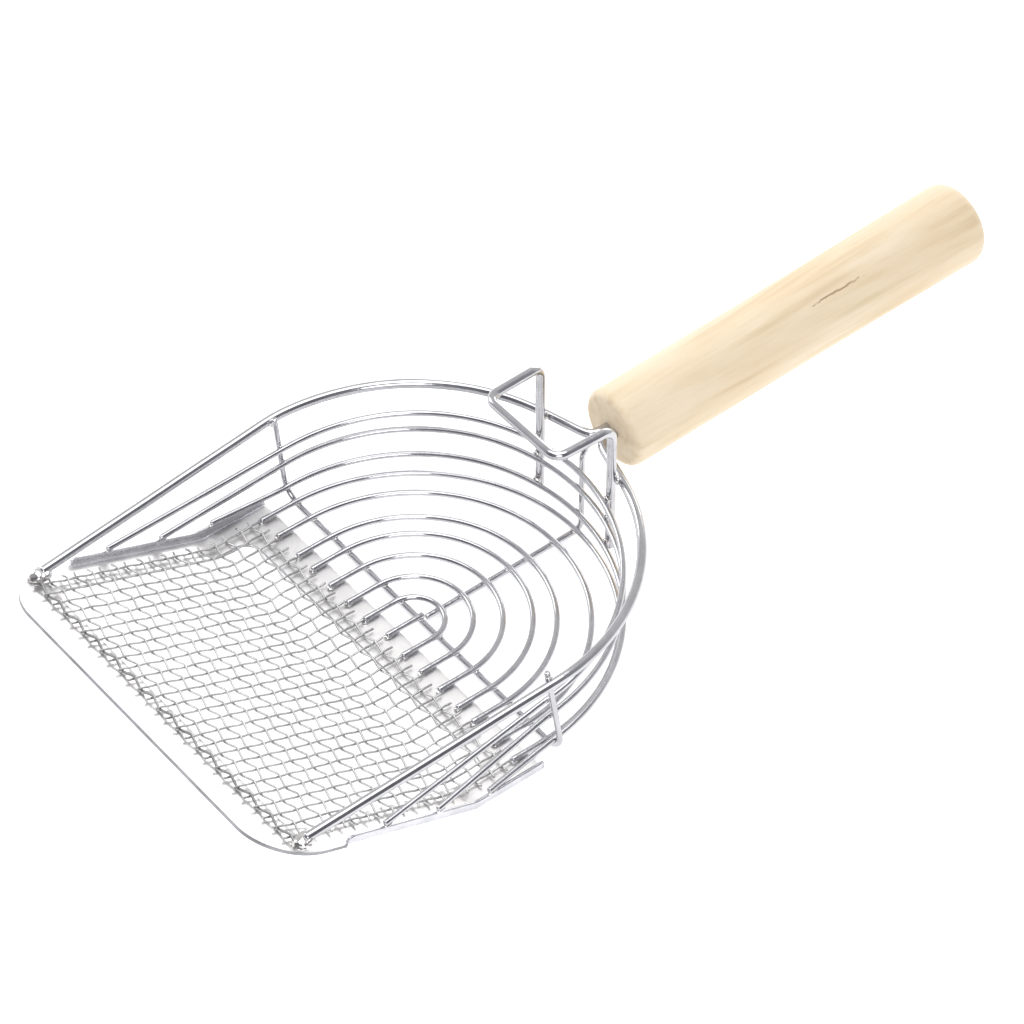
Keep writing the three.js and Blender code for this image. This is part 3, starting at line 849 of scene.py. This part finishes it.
# Each light's place and size in metres, and its power in watts.
LIGHTS = {
    "overhead": ((-0.1, 0.0, 1.6), (1.3, 1.3), 12.5),
    "left": ((-1.4, -0.5, 0.9), (0.7, 0.9), 6),
    "front": ((1.35, -0.9, 1.0), (0.9, 0.9), 10),
    "back": ((-1.0, 1.5, 0.5), (1.3, 0.8), 6),
}
LIGHTS_AIM = Vector((0, 0, 0.03))


def make_camera():
    data = bpy.data.cameras.new("camera")
    data.lens = CAMERA_LENS
    data.sensor_width = 36
    data.clip_start, data.clip_end = 0.05, 50
    camera = bpy.data.objects.new("camera", data)
    bpy.context.scene.collection.objects.link(camera)
    turn = Matrix.Rotation(math.radians(CAMERA_AZIMUTH), 3, "Z")
    turn = turn @ Matrix.Rotation(math.radians(90 - CAMERA_ELEVATION), 3, "X")
    back = turn @ Vector((0, 0, 1))
    camera.location = TO_FRAME @ (CAMERA_AIM + back * CAMERA_DISTANCE)
    camera.rotation_euler = (turn @ Matrix.Rotation(math.radians(CAMERA_ROLL), 3, "Z")).to_euler()
    bpy.context.scene.camera = camera


def make_floor():
    bm = bmesh.new()
    bmesh.ops.create_grid(bm, x_segments=8, y_segments=8, size=FLOOR_HALF_SIZE)
    mesh = bpy.data.meshes.new("floor")
    bm.to_mesh(mesh)
    bm.free()
    material, tree, shader = new_material("pale_floor")
    shade = ramp(tree, noise_node(tree, 4.0), [(0.3, (0.90, 0.90, 0.90)), (0.7, (0.92, 0.92, 0.92))])
    tree.links.new(shade, shader.inputs["Base Color"])
    shader.inputs["Roughness"].default_value = 0.9
    shader.inputs["Specular IOR Level"].default_value = 0.1
    shader.inputs["Emission Color"].default_value = (1, 1, 1, 1)
    shader.inputs["Emission Strength"].default_value = FLOOR_GLOW
    mesh.materials.append(material)
    floor = bpy.data.objects.new("floor", mesh)
    floor.location = (0, 0, CAD_BOX[0].z - FLOOR_DROP)
    bpy.context.scene.collection.objects.link(floor)


def make_light(name, place, size, power):
    data = bpy.data.lights.new(name, "AREA")
    data.shape = "RECTANGLE"
    data.size, data.size_y = size
    data.energy = power
    light = bpy.data.objects.new(name, data)
    light.location = place
    light.rotation_euler = (LIGHTS_AIM - Vector(place)).to_track_quat("-Z", "Y").to_euler()
    bpy.context.scene.collection.objects.link(light)


def make_world():
    """A studio seen by the chrome: bright behind and above, dim where the photographer stands."""
    world = bpy.data.worlds.new("studio")
    world.use_nodes = True
    tree = world.node_tree
    where = node(tree, "ShaderNodeTexCoord")
    near = node(tree, "ShaderNodeVectorMath", operation="DOT_PRODUCT")
    near.inputs[1].default_value = DARK_SIDE
    tree.links.new(where.outputs["Generated"], near.inputs[0])
    shade = ramp(tree, spread(tree, near.outputs["Value"], 0, 1, -1, 1), [
        (0.0, (1.0, 1.0, 1.0)), (0.20, (1.0, 1.0, 1.0)), (0.36, (0.82, 0.81, 0.80)),
        (0.52, (0.80, 0.80, 0.82)), (0.68, (0.48, 0.48, 0.51)), (0.86, (0.20, 0.20, 0.22)),
        (1.0, (0.42, 0.42, 0.45))])
    background = tree.nodes["Background"]
    tree.links.new(shade, background.inputs["Color"])
    background.inputs["Strength"].default_value = ROOM_STRENGTH
    bpy.context.scene.world = world


make_rim()
make_floor_wires()
make_side_wires()
make_ribs()
make_hook()
make_plate()
make_mesh()
make_welds()
make_corner_brazes()
make_handle()

make_camera()
make_floor()
for light_name, light_values in LIGHTS.items():
    make_light(light_name, *light_values)
make_world()
bpy.context.scene.view_settings.view_transform = "Standard"
